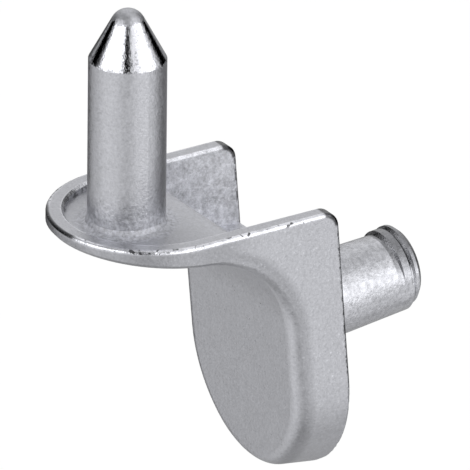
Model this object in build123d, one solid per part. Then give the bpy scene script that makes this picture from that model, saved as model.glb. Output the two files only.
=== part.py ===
from build123d import *
import math
import os

os.makedirs("parts", exist_ok=True)

# A plug-in shelf support, die cast in one piece. Millimetres, +Z up. The origin is where the plug's axis
# meets the wall face. The plug points along +Y into the side panel, and the seat reaches out along -Y.
# The seat and its pin lean a few degrees out of square with the wall, so that a loaded shelf settles level.

# Seat: a half-round tray whose sides run back to the wall as two cheeks
seat_width = 12.0
seat_length = 15.0
seat_rise = 8.65
seat_tilt = 5.0
tip_thickness = 0.8
underside_slope = 6.0
rim_width = 1.05
rim_depth = 0.45

# Pocket between the cheeks: the tray's floor runs on behind the half round, then turns down to the wall
floor_run = 2.6
ramp_foot = 1.7
pocket_depth = 5.0
pocket_fall = 3.0
pocket_radius = 1.0

# Tongue: the thick tab below the bend, with a half-oval foot that is drawn in from a land at the wall
tongue_drop = 9.48
tongue_front_drop = 8.72
tongue_land = 0.6
tongue_oval_height = 7.2
tongue_thickness = 3.6
tongue_taper = 0.5

# Locating pin, square to the seat and a little in front of the half round's centre, with a conical point
pin_diameter = 4.54
pin_offset = 1.6
pin_straight = 10.25
pin_cone_angle = 28.2
pin_nose_radius = 1.05

# Wall plug: a straight root, a shank that slims a little, and two snap rings that stand up on its top side
plug_diameter = 5.0
plug_end_diameter = 4.76
plug_length = 7.55
plug_root = 3.0
plug_end_slope = 0.6
plug_end_break = 0.25
bead_from_end = 1.8
bead_width = 1.25
bead_rise = 0.24
bead_ramp = 0.6
bead_back = 0.2
collar_width = 0.72
collar_rise = 0.32
collar_slope = 0.26

# Edges
front_edge_radius = 0.9
under_edge_break = 0.22
cheek_corner_radius = 1.0
rim_edge_radius = 0.22
pocket_edge_break = 0.15
pin_foot_radius = 0.4

# Sizes that follow from the ones above
half_width = seat_width / 2
pocket_half_width = half_width - rim_width
round_from_wall = seat_length - half_width
floor_end = round_from_wall - floor_run
pin_from_wall = round_from_wall + pin_offset
pin_radius = pin_diameter / 2
plug_radius = plug_diameter / 2
plug_end_edge = plug_end_diameter / 2
tilt = math.radians(seat_tilt)
under_angle = math.radians(seat_tilt + underside_slope)
front_angle = math.radians(tongue_taper)
overrun = seat_width
bend_stations = 6

seat_up = (0, math.sin(tilt), math.cos(tilt))
seat_plane = Plane(origin=(0, 0, seat_rise), x_dir=(1, 0, 0), z_dir=seat_up)


def on_seat(along, above):
    """The (y, z) place of a point measured along the seat from the wall face and above the rim."""
    y = along * math.cos(tilt) + above * math.sin(tilt)
    z = seat_rise - along * math.sin(tilt) + above * math.cos(tilt)
    return y, z


def across(profile, width):
    """A prism of a side profile, centred on the middle plane."""
    return extrude(Plane.YZ * profile, width / 2, both=True)


def crossing(point_a, angle_a, point_b, angle_b):
    """Where two lines of the side view meet."""
    det = math.sin(angle_a) * math.cos(angle_b) - math.cos(angle_a) * math.sin(angle_b)
    dy = point_b[0] - point_a[0]
    dz = point_b[1] - point_a[1]
    run = (dz * math.cos(angle_b) - dy * math.sin(angle_b)) / det
    return point_a[0] + run * math.cos(angle_a), point_a[1] + run * math.sin(angle_a)


def corners_at(profile, places):
    """The profile's corners nearest to the given places."""
    return [min(profile.vertices(), key=lambda v: math.dist((v.X, v.Y), place)) for place in places]


# The concave bend starts under the half round's centre and runs into the tongue's front, tangent to both
under_tip = on_seat(-seat_length, -tip_thickness)
bend_start = crossing(on_seat(-round_from_wall, 0), math.pi / 2, under_tip, -under_angle)
bend_corner = crossing(under_tip, -under_angle, (-tongue_thickness, 0), math.pi / 2 + front_angle)
first_ray = math.pi / 2 - under_angle
last_ray = front_angle
bend_radius = math.dist(bend_start, bend_corner) / math.tan((first_ray - last_ray) / 2)
bend_centre = (
    bend_start[0] - bend_radius * math.cos(first_ray),
    bend_start[1] - bend_radius * math.sin(first_ray),
)


def on_ray(angle, radius):
    """A point of the side view at a distance from the bend's centre."""
    return bend_centre[0] + radius * math.cos(angle), bend_centre[1] + radius * math.sin(angle)


def stadium(half):
    """Seat outline seen along the pin: a half round, then straight sides that run past the wall."""
    straight = round_from_wall + overrun
    round_end = Pos(0, -round_from_wall) * Circle(half)
    sides = Pos(0, -round_from_wall) * Rectangle(2 * half, straight, align=(Align.CENTER, Align.MIN))
    return round_end + sides


def seat_plate():
    """The half-round tray's blank, thin at the tip, with its lower edge rounded."""
    far_top = on_seat(-seat_length - overrun, 0)
    far_under = crossing(far_top, math.pi / 2, under_tip, -under_angle)
    bend_top = crossing(bend_start, first_ray, on_seat(0, 0), -tilt)
    wedge = make_face(Polyline(far_top, far_under, bend_start, bend_top, close=True))
    blank = extrude(seat_plane * stadium(half_width), overrun, both=True)
    plate = blank & across(wedge, seat_width + overrun)
    downward = Axis((0, 0, 0), (0, -math.sin(under_angle), -math.cos(under_angle)))
    underside = plate.faces().sort_by(downward)[-1]
    return chamfer(underside.edges().filter_by(Axis.X, reverse=True), under_edge_break)


def bend_skin():
    """The concave sweep under the seat, with side edges that soften from the seat's to the tongue's."""
    depth = front_edge_radius + under_edge_break
    sections = []
    for station in range(bend_stations):
        share = station / (bend_stations - 1)
        angle = first_ray + share * (last_ray - first_ray)
        edge = under_edge_break + share * (front_edge_radius - under_edge_break)
        strip = Pos(0, bend_radius) * Rectangle(seat_width, depth, align=(Align.CENTER, Align.MIN))
        soften = fillet if station else chamfer
        strip = soften(strip.vertices().group_by(Axis.Y)[0], edge)
        turned = (0, -math.sin(angle), math.cos(angle))
        sections.append(Plane(origin=(0, *bend_centre), x_dir=(1, 0, 0), z_dir=turned) * strip)
    return loft(sections)


def bend_core():
    """The solid corner between the bend's skin, the top of the cheeks and the wall face."""
    radius = bend_radius + front_edge_radius
    start = on_ray(first_ray, radius)
    end = on_ray(last_ray, radius)
    top = crossing(start, first_ray, on_seat(0, 0), -tilt)
    back = crossing(end, last_ray, (0, 0), math.pi / 2)
    arc = ThreePointArc(start, on_ray((first_ray + last_ray) / 2, radius), end)
    side = make_face([arc, Polyline(end, back, on_seat(0, 0), top, start)])
    side = fillet(corners_at(side, [on_seat(0, 0)]), cheek_corner_radius)
    return across(side, seat_width)


def foot_outline(drop, depth):
    """Tongue outline at a depth from the wall face: straight sides, then an oval of three tangent arcs."""
    oval_top = tongue_oval_height - tongue_drop
    height = oval_top + drop
    toe_radius = half_width**2 / height
    side_radius = height * (half_width + height) / seat_width
    side_centre = half_width - side_radius
    turn = -math.atan2(abs(height - toe_radius), abs(side_centre))

    def on_side(angle):
        return side_centre + side_radius * math.cos(angle), oval_top + side_radius * math.sin(angle)

    top = (half_width, oval_top + overrun)
    joint = on_side(turn)
    side = [Line(top, on_side(0)), ThreePointArc(on_side(0), on_side(turn / 2), joint)]
    far_side = [mirror(piece, Plane.YZ) for piece in side]
    toe = ThreePointArc(joint, (0, -drop), (-joint[0], joint[1]))
    lid = Line(top, (-top[0], top[1]))
    outline = make_face([*side, toe, *far_side, lid])
    return Plane(origin=(0, -depth, 0), x_dir=(1, 0, 0), z_dir=(0, -1, 0)) * outline


def tongue():
    """The tab below the bend, with its front edge rounded all the way round the foot."""
    front_top = on_ray(last_ray, bend_radius)
    back_top = crossing(front_top, last_ray, (0, 0), math.pi / 2)
    back_foot = (0, -tongue_drop - overrun)
    front_foot = crossing(front_top, math.pi / 2 + front_angle, back_foot, 0)
    slab = across(make_face(Polyline(front_top, front_foot, back_foot, back_top, close=True)), seat_width)
    draw = (tongue_drop - tongue_front_drop) / (tongue_thickness - tongue_land)
    reach = tongue_thickness + tongue_land
    reach_drop = tongue_drop - draw * (reach - tongue_land)
    land = extrude(foot_outline(tongue_drop, 0), tongue_land)
    drawn = loft([foot_outline(tongue_drop, tongue_land), foot_outline(reach_drop, reach)], ruled=True)
    tab = slab & (land + drawn)
    front = tab.faces().sort_by(Axis.Y)[0]
    return fillet(front.edges().filter_by(Axis.X, reverse=True), front_edge_radius)


def pocket():
    """The space inside the rim: a shallow floor, then a ramp down to a deeper floor, open at the back."""
    fall = (ramp_foot + overrun) * math.tan(math.radians(pocket_fall))
    floor_edge = on_seat(-floor_end, -rim_depth)
    ramp_edge = on_seat(-ramp_foot, -pocket_depth)
    side = make_face(
        Polyline(
            on_seat(-seat_length, overrun),
            on_seat(-seat_length, -rim_depth),
            floor_edge,
            ramp_edge,
            on_seat(overrun, -pocket_depth - fall),
            on_seat(overrun, overrun),
            close=True,
        )
    )
    side = fillet(corners_at(side, [floor_edge, ramp_edge]), pocket_radius)
    return across(side, seat_width) & extrude(seat_plane * stadium(pocket_half_width), overrun, both=True)


def cheek_corners(body):
    """The rounded corners where the top of the cheeks turns down to the wall face."""
    rounds = body.faces().filter_by(GeomType.CYLINDER)
    return rounds.filter_by_position(Axis.Z, 0, seat_rise + overrun).group_by(Axis.Y)[-1]


def outer_edges(body):
    """The sharp edges round the outside of the rim, the cheeks' corners and the wall face."""
    rim = body.faces().sort_by(Axis((0, 0, 0), seat_up))[-1]
    wall = body.faces().sort_by(Axis.Y)[-1]
    edges = [edge for face in [rim, wall, *cheek_corners(body)] for edge in face.edges()]
    return [edge for edge in edges if sum(edge.is_same(other) for other in edges) == 1]


def pocket_edges(body):
    """The sharp edges round the pocket's mouth: inside the rim, down the cheeks and along the wall face."""
    rim = body.faces().filter_by(GeomType.PLANE).sort_by(Axis((0, 0, 0), seat_up))[-1]
    wall = body.faces().sort_by(Axis.Y)[-1]
    edges = ShapeList([edge for face in [rim, wall, *cheek_corners(body)] for edge in face.edges()])
    straight = [edge for edge in edges if math.isclose(abs(edge.center().X), pocket_half_width)]
    arcs = edges.filter_by(GeomType.CIRCLE)
    rounds = [edge for edge in arcs if math.isclose(edge.radius, pocket_half_width)]
    return straight + rounds + wall.edges().filter_by(Axis.X)


def cast_body():
    """Seat, cheeks, bend and tongue as one casting with a soft outline, hollowed by the pocket."""
    body = seat_plate() + bend_core() + bend_skin() + tongue()
    body = fillet(outer_edges(body), rim_edge_radius) - pocket()
    return chamfer(pocket_edges(body), pocket_edge_break)


def locating_pin():
    """The straight pin with its flared foot on the tray's floor, its cone and its rounded nose."""
    slope = math.radians(pin_cone_angle)
    nose_turn = math.pi / 2 - slope
    half_turn = nose_turn / 2
    floor = -rim_depth
    root = floor - tip_thickness / 2
    flare = pin_foot_radius * (1 - math.cos(math.pi / 4))
    shoulder = floor + pin_straight
    nose_edge = pin_nose_radius * math.sin(nose_turn)
    nose_start = shoulder + (pin_radius - nose_edge) / math.tan(slope)
    nose_top = nose_start + pin_nose_radius * (1 - math.cos(nose_turn))
    half_dip = pin_nose_radius * (1 - math.cos(half_turn))
    nose_mid = (pin_nose_radius * math.sin(half_turn), nose_top - half_dip)
    side = Polyline(
        (0, nose_top),
        (0, root),
        (pin_radius + pin_foot_radius, root),
        (pin_radius + pin_foot_radius, floor),
        (pin_radius + flare, floor + flare),
        (pin_radius, floor + pin_foot_radius),
        (pin_radius, shoulder),
        (nose_edge, nose_start),
    )
    nose = ThreePointArc((nose_edge, nose_start), nose_mid, (0, nose_top))
    pin = revolve(Plane.XZ * make_face([side, nose]), Axis.Z)
    return seat_plane * Pos(0, -pin_from_wall, 0) * pin


def plug_shank():
    """The plug's round shank: straight at the wall, then slimming to an end with a sloped, broken edge."""
    root = -tongue_thickness / 2
    side = Polyline(
        (0, plug_length),
        (0, root),
        (plug_radius, root),
        (plug_radius, plug_root),
        (plug_end_edge, plug_length - plug_end_slope),
        (plug_end_edge - plug_end_break, plug_length - plug_end_break),
        (plug_end_edge - plug_end_slope, plug_length),
        close=True,
    )
    return revolve(make_face(side), Axis.Y)


def snap_ring(start, width, rise, front_slope, back_slope):
    """A ring set above the plug's axis: it stands up on top and sinks into the shank at mid height."""
    crest = plug_end_edge + rise
    lift = (crest**2 - plug_end_edge**2) / (2 * crest)
    ring = Cylinder(crest - lift, width, align=(Align.CENTER, Align.CENTER, Align.MIN))
    ring = chamfer(ring.edges().filter_by(GeomType.CIRCLE).sort_by(Axis.Z)[0], front_slope)
    ring = chamfer(ring.edges().filter_by(GeomType.CIRCLE).sort_by(Axis.Z)[-1], back_slope)
    return Plane(origin=(0, start, lift), x_dir=(1, 0, 0), z_dir=(0, 1, 0)) * ring


def wall_plug():
    """The plug that is pushed into the side panel's hole, with its bead and end collar."""
    bead = snap_ring(plug_length - bead_from_end, bead_width, bead_rise, bead_ramp, bead_back)
    collar = snap_ring(plug_length - collar_width, collar_width, collar_rise, collar_slope, collar_slope)
    return plug_shank() + bead + collar


def shelf_support():
    """The whole casting: body, locating pin and wall plug."""
    return cast_body() + locating_pin() + wall_plug()


support = shelf_support()
export_step(support, "parts/shelf_support.step")
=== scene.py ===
import math

import bpy
import numpy as np
from mathutils import Matrix, Vector

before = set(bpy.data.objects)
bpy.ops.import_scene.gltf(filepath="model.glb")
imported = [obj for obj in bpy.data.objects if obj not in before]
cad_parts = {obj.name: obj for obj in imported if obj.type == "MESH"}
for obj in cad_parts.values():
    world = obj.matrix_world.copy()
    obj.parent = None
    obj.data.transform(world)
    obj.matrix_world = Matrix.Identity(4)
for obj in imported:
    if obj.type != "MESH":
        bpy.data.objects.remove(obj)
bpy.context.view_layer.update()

MM = 0.001

# The casting's driving sizes, in millimetres, as in the part's source
seat_width = 12.0
seat_length = 15.0
seat_rise = 8.65
seat_tilt = math.radians(5.0)
rim_width = 1.05
rim_depth = 0.45
cheek_corner_radius = 1.0
pin_diameter = 4.54
pin_offset = 1.6
pin_straight = 10.25
plug_diameter = 5.0
plug_length = 7.55

# What follows from them
seat_half_width = seat_width / 2
round_from_wall = seat_length - seat_half_width
pin_from_wall = round_from_wall + pin_offset
pin_radius = pin_diameter / 2
pin_shoulder = pin_straight - rim_depth
plug_radius = plug_diameter / 2

# The concave bend under the seat: its centre in Y and Z, and its radius, in millimetres
bend_centre = (-10.23, 1.49)
bend_radius = 6.61

# Where the finish changes, in millimetres: above the rim on the pin, from the wall on the plug and in
# the tray, and above the plug's middle for the pocket's floor and the painted shade on the rings' tops
cone_end = 12.3
lower_shank = 2.6
foot_height = 0.5
rings_start = 5.4
upper_ring_start = 5.9
ring_shade = (0.6, 1.4)
coarse_from_wall = 7.0
coarse_floor = 2.6
tray_height = 1.0

# How far the finish, the painted highlights and the painted shade of each place reach, in millimetres
skin = 0.2
edge_wear = 0.3
fine_wear = 0.24
wall_face_wear = 0.2
inner_wall_drop = 0.25
corner_band = 0.3
tip_side = 1.4
tip_back = 1.8
front_wall = 0.9
front_skin = 0.12
# The strip at this depth is a painted shade band on the tongue's rounded front
strip_depth = 0.7
foot_spread = 1.0
zone_fade = 1.0
ragged_border = 0.1
ragged_by = 0.85

# The plating's noises: lumps per millimetre, detail and roughness
grain_noise = (8.0, 3.0, 0.6)
sand_noise = (4.5, 4.0, 0.7)
mottle_noise = (1.3, 3.0, 0.55)
crust_noise = (3.5, 3.0, 0.7)
blotch_noise = (1.7, 6.0, 0.85)
streak_noise = (1.0, 2.0, 0.5)
clump_noise = (3.6, 0.0, 0.5)
spot_noise = (2.6, 2.0, 0.6)
glint_noise = (4.5, 1.0, 0.5)
streak_stretch = (5.0, 5.0, 0.4)

# The levels of a noise between which it comes out as marks, and how the mottle spreads marks and wear
clump_levels = (0.61, 0.7)
# The glints are painted glints, and the spots are painted dark reflections on the edges by the wall
spot_levels = (0.5, 0.58)
glint_levels = (0.7, 0.76)
speck_levels = (0.05, 0.18)
clump_patches = (-0.08, 0.0)
wear_mean = 0.75
wear_swing = 2.5
wear_least = 0.1

# The plating's brightness and roughness, as cast and where it is worn or polished, the brightness there
# raised as a painted highlight, its green and blue as shares of the red, and its grain's height in
# millimetres and strength
cast_tone = 0.5
wear_and_highlight_tone = 0.86
green_share = 1.01
blue_share = 1.07
satin = 0.36
polished = 0.06
grain_height = 0.04
grain_strength = 0.65

# The photograph's view, fitted in the seat's own frame: angles in degrees, the scale in pixels per
# millimetre, the pixel on which the half round's centre falls, and the lens in millimetres
image_size = 470
view_azimuth = 57.18
view_elevation = 24.82
view_roll = -0.6
view_scale = 17.45
round_pixel = (150.05, 207.77)
camera_distance = 1200.0
clip_shares = (0.01, 10)
sensor_width = 36.0

# The light tent's panels, in rows by their degrees up. In a row the strengths go from the camera round
# to the right, in even steps, and each panel fades out over the spread, in degrees
tent_rows = {
    65: (0.10, 0.50, 0.40, 0.10),
    25: (0.00, 0.95, 0.75, 0.10, 0.80, 0.15, 0.50, 0.70),
    -25: (0.50, 0.85, 0.35, 0.15, 0.20, 0.40, 0.55, 0.80),
    -65: (0.10, 0.40, 0.30, 0.25),
}
panel_spread = 45

# Dark gaps between the panels: degrees to the right of the camera, degrees up, strength and spread
tent_gaps = [
    (0, 32, 0.50, 19),
    (-114, 10, 0.70, 26),
    (118, -8, 0.65, 29),
    (-150, -22, 0.45, 26),
]

# The softboxes: degrees to the right of the camera, degrees up, width and height in millimetres, and
# power in watts
box_distance = 260.0
softboxes = {
    "left_box": (-50, 28, 330, 180, 0.18),
    "right_box": (56, 10, 330, 180, 0.14),
}

# The floor, in millimetres, its paint, and the white that the eye sees of it
floor_drop = 120.0
floor_size = 4000.0
floor_paint = 0.25
floor_glow = 1.05
floor_white = 0.95


def direction(azimuth, elevation):
    """The unit vector (sin a cos e, -cos a cos e, sin e) for an azimuth and elevation in degrees."""
    a, e = math.radians(azimuth), math.radians(elevation)
    return Vector((math.sin(a) * math.cos(e), -math.cos(a) * math.cos(e), math.sin(e)))


def from_seat(vector):
    """A direction in the seat's frame turned into the part's frame: the seat leans about X by its tilt."""
    x, y, z = vector
    cos_t, sin_t = math.cos(seat_tilt), math.sin(seat_tilt)
    return Vector((x, y * cos_t + z * sin_t, z * cos_t - y * sin_t))


def add_object(name, data):
    """A new object in the scene that carries the given data."""
    item = bpy.data.objects.new(name, data)
    bpy.context.scene.collection.objects.link(item)
    return item


def photo_camera():
    """A long lens that looks along the fitted direction, with the half round's centre on its pixel."""
    back = from_seat(direction(view_azimuth, view_elevation))
    upright = from_seat(direction(view_azimuth + 180, 90 - view_elevation))
    level = upright.cross(back)
    roll = math.radians(view_roll)
    right = level * math.cos(roll) - upright * math.sin(roll)
    up = level * math.sin(roll) + upright * math.cos(roll)
    round_centre = from_seat((0, -round_from_wall, 0)) + Vector((0, 0, seat_rise))
    across = (image_size / 2 - round_pixel[0]) / view_scale
    down = (image_size / 2 - round_pixel[1]) / view_scale
    eye = round_centre + right * across - up * down + back * camera_distance
    data = bpy.data.cameras.new("photo_camera")
    data.sensor_width = sensor_width
    data.lens = sensor_width * view_scale * camera_distance / image_size
    data.clip_start, data.clip_end = (camera_distance * MM * share for share in clip_shares)
    camera = add_object("photo_camera", data)
    camera.matrix_world = Matrix.Translation(eye * MM) @ Matrix((right, up, back)).transposed().to_4x4()
    bpy.context.scene.camera = camera


class Field:
    """A node socket to reckon with: arithmetic on it adds Math nodes, and make() adds any node."""

    def __init__(self, tree, socket=None):
        self.tree = tree
        self.socket = socket

    def make(self, kind, settings, inputs, output=0):
        """Adds a node, sets its settings, then sets or links its sockets, and gives one of its outputs."""
        node = self.tree.nodes.new(kind)
        for name, value in settings.items():
            setattr(node, name, value)
        for name, value in inputs.items():
            if isinstance(value, Field):
                self.tree.links.new(value.socket, node.inputs[name])
            else:
                node.inputs[name].default_value = value
        return Field(self.tree, node.outputs[output] if node.outputs else None)

    def math(self, operation, *values):
        return self.make("ShaderNodeMath", {"operation": operation}, dict(enumerate(values)))

    def __add__(self, other):
        return self.math("ADD", self, other)

    def __sub__(self, other):
        return self.math("SUBTRACT", self, other)

    def __mul__(self, other):
        return self.math("MULTIPLY", self, other)

    def __rsub__(self, other):
        return self.math("SUBTRACT", other, self)

    __radd__ = __add__
    __rmul__ = __mul__

    def __abs__(self):
        return self.math("ABSOLUTE", self)

    def least(self, other):
        return self.math("MINIMUM", self, other)

    def most(self, other):
        return self.math("MAXIMUM", self, other)

    def ramp(self, low, high):
        """A smooth step from 0 at low to 1 at high, or the other way round where low is the larger."""
        bounds = {"Value": self, "From Min": low, "From Max": high}
        return self.make("ShaderNodeMapRange", {"interpolation_type": "SMOOTHSTEP"}, bounds)

    def within(self, reach):
        """1 up to half the reach, and from there down to 0 at the reach."""
        return self.ramp(reach, reach / 2)

    def span(self, low, high, soft):
        """1 between low and high and 0 outside, with soft borders inside them."""
        return self.ramp(low, low + soft) * self.ramp(high, high - soft)

    def dot(self, axis):
        return self.make("ShaderNodeVectorMath", {"operation": "DOT_PRODUCT"}, {0: self, 1: axis}, "Value")

    def stretch(self, factors):
        return self.make("ShaderNodeVectorMath", {"operation": "MULTIPLY"}, {0: self, 1: factors})

    def noise(self, lumps, detail, roughness):
        """Smooth noise of about 0 to 1 over a vector, with a given number of lumps per unit."""
        inputs = {"Vector": self, "Scale": lumps, "Detail": detail, "Roughness": roughness}
        return self.make("ShaderNodeTexNoise", {}, inputs)


def length_of(*parts):
    """The length of a vector given by its parts: the root of the sum of their squares."""
    total = sum(part * part for part in parts)
    return total.math("SQRT", total)


def blank_nodes(holder):
    """The emptied node tree of a material or a world, to be built with."""
    holder.use_nodes = True
    holder.node_tree.nodes.clear()
    return Field(holder.node_tree)


def pin_zones(x, along, above, crust):
    """The pin's cone, with ragged borders, then the lower part of its shank, which is lifted with painted
    light, then its foot.
    """
    by_pin = (length_of(x, along + pin_from_wall) - pin_radius).within(foot_spread)
    cone = by_pin * (above + ragged_by * crust).span(pin_shoulder, cone_end, ragged_border)
    return cone, by_pin * above.ramp(lower_shank, 0), by_pin * above.ramp(foot_height, 0)


def rim_zones(x, along, above, outside):
    """The rim's outer edge, inner edge, foot of the inner wall, dull stretch by the tip painted dark as a
    dark reflection, and side painted with shade.
    """
    to_round = along + round_from_wall
    from_edge = length_of(outside, above)
    by_tip = x.within(tip_side) * (to_round + seat_half_width).within(tip_back)
    outer_edge = from_edge.within(edge_wear) * (1 - by_tip)
    inner_edge = length_of(outside + rim_width, above).within(fine_wear)
    by_wall = length_of(outside + rim_width, above + inner_wall_drop).within(edge_wear)
    inner_wall = by_wall * to_round.ramp(0, -2 * zone_fade)
    tip = by_tip * from_edge.within(fine_wear)
    below_edge = outside.ramp(-skin, -skin / 2) * above.ramp(-skin / 2, -2 * skin)
    side = below_edge * to_round.ramp(4 * zone_fade, zone_fade)
    return outer_edge, inner_edge, inner_wall, tip, side


def cheek_zones(y, z, along, above, from_side):
    """The cheeks' round corners, painted dark as a dark reflection, their outer edge at the wall, and
    their inner edge at the wall, both spotted with painted dark reflections.
    """
    back = along + cheek_corner_radius
    up = above + cheek_corner_radius
    from_arc = cheek_corner_radius - length_of(back, up)
    band = from_arc.within(corner_band)
    corner = band * back.ramp(0, skin) * up.ramp(0, skin)
    wall_edge = length_of(edge_wear / wall_face_wear * from_side, y).within(edge_wear)
    by_rim = length_of(from_side - rim_width, y).within(edge_wear)
    inner_back = by_rim * z.ramp(coarse_floor, coarse_floor + zone_fade)
    return corner, wall_edge, inner_back


def tray_zones(y, z, along, above, outside, depth):
    """The tray inside the rim, with the cheeks' inner faces, and the part of it that is the pocket."""
    inside = (outside + rim_width).within(skin) * depth.ramp(front_wall / 2, front_wall) * y.ramp(0, -skin)
    tray = inside * above.within(tray_height) * z.ramp(coarse_floor - zone_fade / 2, coarse_floor)
    return tray, tray * along.ramp(-coarse_from_wall, zone_fade - coarse_from_wall)


def plug_zones(x, y, z, crust):
    """The plug, its snap rings, the rings' tops with a ragged border for painted shade, and the faces
    hidden in use.
    """
    ring_tops = y.span(upper_ring_start, plug_length - skin / 2, skin / 2)
    ring_tops = ring_tops * (z + ragged_by * crust).ramp(*ring_shade)
    wall_face = y.ramp(-skin / 4, 0) * (length_of(x, z) - plug_radius).ramp(skin / 2, 2 * skin)
    end_face = y.ramp(plug_length - skin / 2, plug_length - skin / 4)
    return y.ramp(0, skin), y.ramp(rings_start, rings_start + skin), ring_tops, wall_face.most(end_face)


def plated_casting():
    """Satin plated zinc: grainy as cast, with the pin's cone, the plug and the worn edges brighter, partly
    as painted highlights, and with painted shade and dark reflections at edges, corners and the rings'
    tops.
    """
    material = bpy.data.materials.new("plated_casting")
    start = blank_nodes(material)
    place = start.make("ShaderNodeTexCoord", {}, {}, "Object").stretch((1 / MM, 1 / MM, 1 / MM))
    x = place.dot((1, 0, 0))
    y = place.dot((0, 1, 0))
    z = place.dot((0, 0, 1))
    along = place.dot(from_seat((0, 1, 0))) + seat_rise * math.sin(seat_tilt)
    above = place.dot(from_seat((0, 0, 1))) - seat_rise * math.cos(seat_tilt)
    outside = length_of(x, (along + round_from_wall).least(0)) - seat_half_width
    depth = length_of((y - bend_centre[0]).most(0), (z - bend_centre[1]).most(0)) - bend_radius
    from_side = seat_half_width - abs(x)

    grain = place.noise(*grain_noise) - 0.5
    sand = place.noise(*sand_noise) - 0.5
    mottle = place.noise(*mottle_noise) - 0.5
    crust = place.noise(*crust_noise) - 0.5
    blotch = place.noise(*blotch_noise) - 0.5
    streaks = place.stretch(streak_stretch).noise(*streak_noise) - 0.5
    clumps = place.noise(*clump_noise).ramp(*clump_levels) * mottle.ramp(*clump_patches)
    spots = place.noise(*spot_noise).ramp(*spot_levels)
    glints = place.noise(*glint_noise).ramp(*glint_levels)
    specks = crust.ramp(*speck_levels)
    wear = (wear_mean + wear_swing * mottle).most(wear_least).least(1.0)

    cone, shank, foot = pin_zones(x, along, above, crust)
    outer_edge, inner_edge, inner_wall, tip, rim_side = rim_zones(x, along, above, outside)
    corner, wall_edge, inner_back = cheek_zones(y, z, along, above, from_side)
    tray, pocket = tray_zones(y, z, along, above, outside, depth)
    plug, rings, ring_tops, hidden = plug_zones(x, y, z, crust)
    front = depth.within(front_skin)
    strip = abs(depth - strip_depth).ramp(strip_depth, 0)
    side = from_side.within(skin) * (1 - plug)
    worn = outer_edge.most(tip).most(wall_edge)

    # Smoother on the plug, rougher where the mould was coarse, and polished on the cone and the edges
    rough = satin + 0.12 * mottle + 0.4 * sand - 0.1 * plug + 0.1 * tray + 0.2 * foot + 0.3 * hidden
    polish = cone.most(worn.most(inner_edge) * wear).most(0.8 * corner).most(0.7 * rings)
    rough = rough + (polished - rough) * polish

    # Grainy as cast, coarser in the pocket, at the foot of the pin and on the plug, with painted light
    # lifting the lower shank and painted glints on the cheeks' outer sides
    tone = cast_tone + 0.075 * mottle + 0.23 * grain + 0.32 * sand + (0.06 * streaks - 0.09 * sand) * front
    tone = tone + 0.04 * tray + (0.05 + 1.2 * blotch + 0.35 * crust) * pocket + 0.11 * glints * side
    tone = tone + (0.11 + 0.7 * sand + 0.15 * crust) * shank + 0.55 * crust * plug
    # Bright where it is polished or worn, the cone and the edges raised as a painted highlight
    wear_and_highlight = cone.most(outer_edge * wear).most(0.6 * inner_edge * wear)
    tone = tone + (wear_and_highlight_tone - tone) * wear_and_highlight
    # Dark at the tip and the corners as painted dark reflections, painted shade on the rings' tops, the
    # tongue's rounded front and the rim's side, and small marks along the edges, with painted dark
    # reflections in spots by the walls
    dark = (0.8 * tip).most(0.85 * corner).most(0.26 * strip).most(0.25 * rim_side).most(0.5 * ring_tops)
    dark = dark.most(0.85 * clumps * worn).most(0.45 * specks * cone)
    dark = dark.most(spots * (0.8 * inner_back.most(wall_edge)).most(0.6 * inner_wall))
    tone = tone * (1 - dark)
    shades = {"Red": tone, "Green": green_share * tone, "Blue": blue_share * tone}
    colour = start.make("ShaderNodeCombineColor", {}, shades)

    # The relief of the same grain
    height = (0.6 * grain + sand * (1 - 0.5 * front) + 0.5 * mottle) * (1 - 0.7 * cone)
    height = height + crust * (0.6 * plug + 0.6 * cone + pocket + foot)
    relief = {"Strength": grain_strength, "Distance": grain_height * MM, "Height": height}
    bump = start.make("ShaderNodeBump", {}, relief)
    metal = {"Base Color": colour, "Metallic": 1.0, "Roughness": rough, "Normal": bump}
    surface = start.make("ShaderNodeBsdfPrincipled", {}, metal)
    start.make("ShaderNodeOutputMaterial", {}, {"Surface": surface})
    return material


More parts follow.
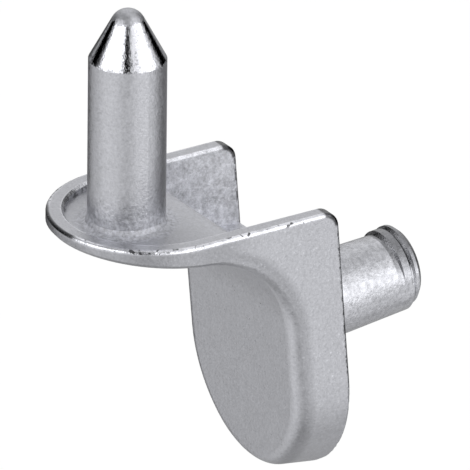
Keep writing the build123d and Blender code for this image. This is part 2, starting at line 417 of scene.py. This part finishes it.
def studio():
    """White to the eye, and to all else a light tent: the sum of its panels less its gaps, at least 0."""
    world = bpy.data.worlds.new("studio")
    bpy.context.scene.world = world
    start = blank_nodes(world)
    seen = start.make("ShaderNodeLightPath", {}, {}, "Is Camera Ray")
    way = start.make("ShaderNodeTexCoord", {}, {}, "Generated")

    def patch(azimuth, elevation, strength, spread):
        """A round soft patch, of full strength at its middle and 0 from its spread outwards."""
        facing = way.dot(direction(view_azimuth + azimuth, elevation))
        return strength * facing.ramp(math.cos(math.radians(spread)), 1.0)

    panels = [
        patch(360 * step / len(row), elevation, strength, panel_spread)
        for elevation, row in tent_rows.items()
        for step, strength in enumerate(row)
    ]
    gaps = [patch(*gap) for gap in tent_gaps]
    glow = (sum(panels) - sum(gaps)).most(0)
    glow = glow + (1 - glow) * seen
    light = start.make("ShaderNodeBackground", {}, {"Color": (1, 1, 1, 1), "Strength": glow})
    start.make("ShaderNodeOutputWorld", {}, {"Surface": light})


def softbox(name, azimuth, elevation, width, height, power):
    """A rectangular lamp that faces the part from a given direction, and is not seen by the eye."""
    towards = direction(view_azimuth + azimuth, elevation)
    data = bpy.data.lights.new(name, "AREA")
    data.shape = "RECTANGLE"
    data.size = width * MM
    data.size_y = height * MM
    data.energy = power
    lamp = add_object(name, data)
    lamp.location = towards * box_distance * MM
    lamp.rotation_euler = towards.to_track_quat("Z", "Y").to_euler()
    lamp.visible_camera = False


def floor():
    """A pale floor well below the part: (s - 1/2, t - 1/2) times its size, for s and t of 0 and 1."""
    s, t = np.meshgrid([0.0, 1.0], [0.0, 1.0])
    corners = np.stack([(s - 0.5) * floor_size, (t - 0.5) * floor_size, 0 * s - floor_drop], -1) * MM
    mesh = bpy.data.meshes.new("floor")
    mesh.from_pydata(corners.reshape(-1, 3).tolist(), [], [(0, 1, 3, 2)])
    plate = add_object("floor", mesh)
    material = bpy.data.materials.new("floor")
    start = blank_nodes(material)
    seen = start.make("ShaderNodeLightPath", {}, {}, "Is Camera Ray")
    paint = start.make("ShaderNodeBsdfDiffuse", {}, {"Color": (floor_paint, floor_paint, floor_paint, 1)})
    white = start.make("ShaderNodeEmission", {}, {"Color": (1, 1, 1, 1), "Strength": floor_glow})
    both = start.make("ShaderNodeMixShader", {}, {0: seen * floor_white, 1: paint, 2: white})
    start.make("ShaderNodeOutputMaterial", {}, {"Surface": both})
    mesh.materials.append(material)
    plate.visible_glossy = False


photo_camera()
bpy.context.scene.view_settings.view_transform = "Standard"
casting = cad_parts["shelf_support"]
casting.data.materials.clear()
casting.data.materials.append(plated_casting())
studio()
for name, setting in softboxes.items():
    softbox(name, *setting)
floor()
